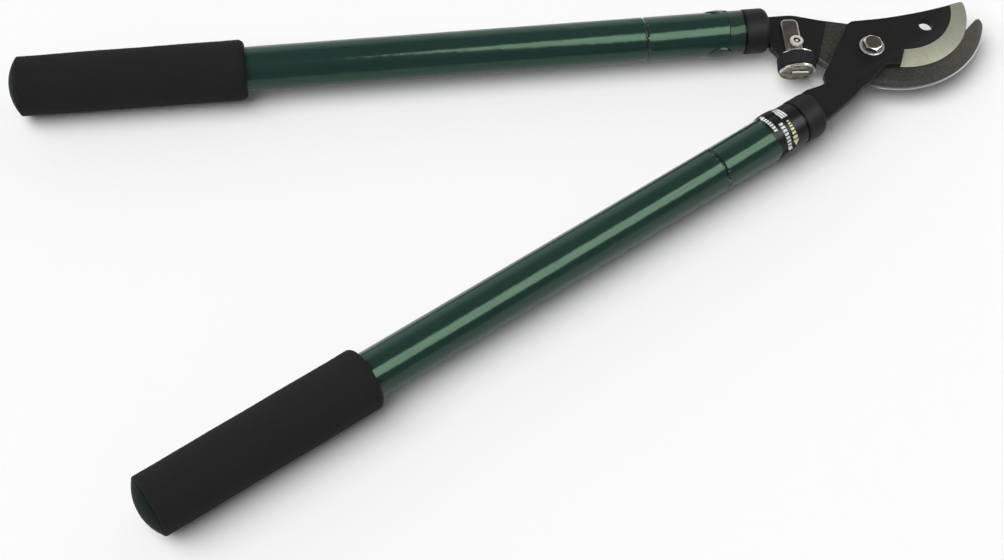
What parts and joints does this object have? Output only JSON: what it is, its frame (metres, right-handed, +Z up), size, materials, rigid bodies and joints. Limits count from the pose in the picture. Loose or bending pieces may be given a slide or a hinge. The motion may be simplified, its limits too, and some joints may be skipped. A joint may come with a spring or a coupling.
{
  "type": "telescopic lopper",
  "caption": "Bypass lopper with telescopic twist-lock tube handles, foam grips, a hook and a cutting blade on a pivot bolt, and a rubber bumper.",
  "frame": {"origin": "centre of the pivot bolt's flat end, on the floor that the lopper lies on", "axes": "+X from between the handles to the jaws, +Y towards the hook side's handle, +Z up out of the bolt's head"},
  "size_m": [0.6222, 0.3437, 0.0392],
  "materials": {
    "green_paint": "glossy dark green paint",
    "green_plastic": "moulded, satin",
    "black_plastic": "moulded, satin",
    "inner_tube_plate": "drawn and zinc plated",
    "hidden_steel": "turned",
    "white_acetal": "moulded, smooth",
    "black_foam": "closed-cell foam, matte",
    "ground_steel": "ground, with its tang coated black",
    "black_coating": "low-friction coating, its bevel ground bright",
    "bolt_plate": "nickel plated",
    "nut_plate": "zinc plated",
    "strip_plate": "nickel plated, a little tarnished",
    "bumper_plate": "nickel plated",
    "black_rubber": "moulded, satin"
  },
  "bodies": {
    "hook_side": {"hook_blade": "ground_steel", "pivot_bolt": "bolt_plate", "pivot_washer": "bolt_plate", "pivot_lock_washer": "nut_plate", "pivot_nut": "nut_plate", "bumper_bracket": "strip_plate", "bumper_rivet": "bumper_plate", "bumper_cup": "bumper_plate", "bumper_rubber": "black_rubber", "bumper_cap": "bumper_plate", "bumper_stud": "bumper_plate", "upper_inner_tube": "inner_tube_plate", "upper_head_collar": "black_plastic", "upper_tang_pin": "hidden_steel", "upper_lock_plug": "white_acetal"},
    "blade_side": {"cutting_blade": "black_coating", "lower_inner_tube": "inner_tube_plate", "lower_head_collar": "black_plastic", "lower_tang_pin": "hidden_steel", "lower_lock_plug": "white_acetal"},
    "upper_lock": {"upper_lock_expander": "white_acetal"},
    "upper_cone": {"upper_lock_cone": "white_acetal"},
    "upper_sleeve": {"upper_outer_tube": "green_paint", "upper_guide_bush": "black_plastic", "upper_foam_grip": "black_foam", "upper_end_plug": "green_plastic"},
    "lower_lock": {"lower_lock_expander": "white_acetal"},
    "lower_cone": {"lower_lock_cone": "white_acetal"},
    "lower_sleeve": {"lower_outer_tube": "green_paint", "lower_guide_bush": "black_plastic", "lower_foam_grip": "black_foam", "lower_end_plug": "green_plastic"}
  },
  "joints": [
    {"name": "pivot", "type": "hinge", "parent": "hook_side", "child": "blade_side", "pos_m": [0, 0, 0.0196], "axis": [0, 0, 1], "range_deg": [-10, 62]},
    {"name": "upper_twist", "type": "hinge", "parent": "hook_side", "child": "upper_lock", "pos_m": [0.00597, 0.02376, 0.0196], "axis": [-0.9699, 0.2436, 0], "range_deg": [0, 150]},
    {"name": "upper_cone_feed", "type": "slide", "parent": "upper_lock", "child": "upper_cone", "axis": [-0.9699, 0.2436, 0], "range_m": [0, 0.00125]},
    {"name": "upper_extension", "type": "slide", "parent": "upper_lock", "child": "upper_sleeve", "axis": [-0.9699, 0.2436, 0], "range_m": [0, 0.3]},
    {"name": "lower_twist", "type": "hinge", "parent": "blade_side", "child": "lower_lock", "pos_m": [0.00419, -0.01668, 0.0196], "axis": [-0.9699, -0.2436, 0], "range_deg": [0, 150]},
    {"name": "lower_cone_feed", "type": "slide", "parent": "lower_lock", "child": "lower_cone", "axis": [-0.9699, -0.2436, 0], "range_m": [0, 0.00125]},
    {"name": "lower_extension", "type": "slide", "parent": "lower_lock", "child": "lower_sleeve", "axis": [-0.9699, -0.2436, 0], "range_m": [0, 0.3]}
  ],
  "couplings": [
    {"joint": "upper_cone_feed", "follows": "upper_twist", "m_per_rad": 0.000477},
    {"joint": "lower_cone_feed", "follows": "lower_twist", "m_per_rad": 0.000477}
  ]
}
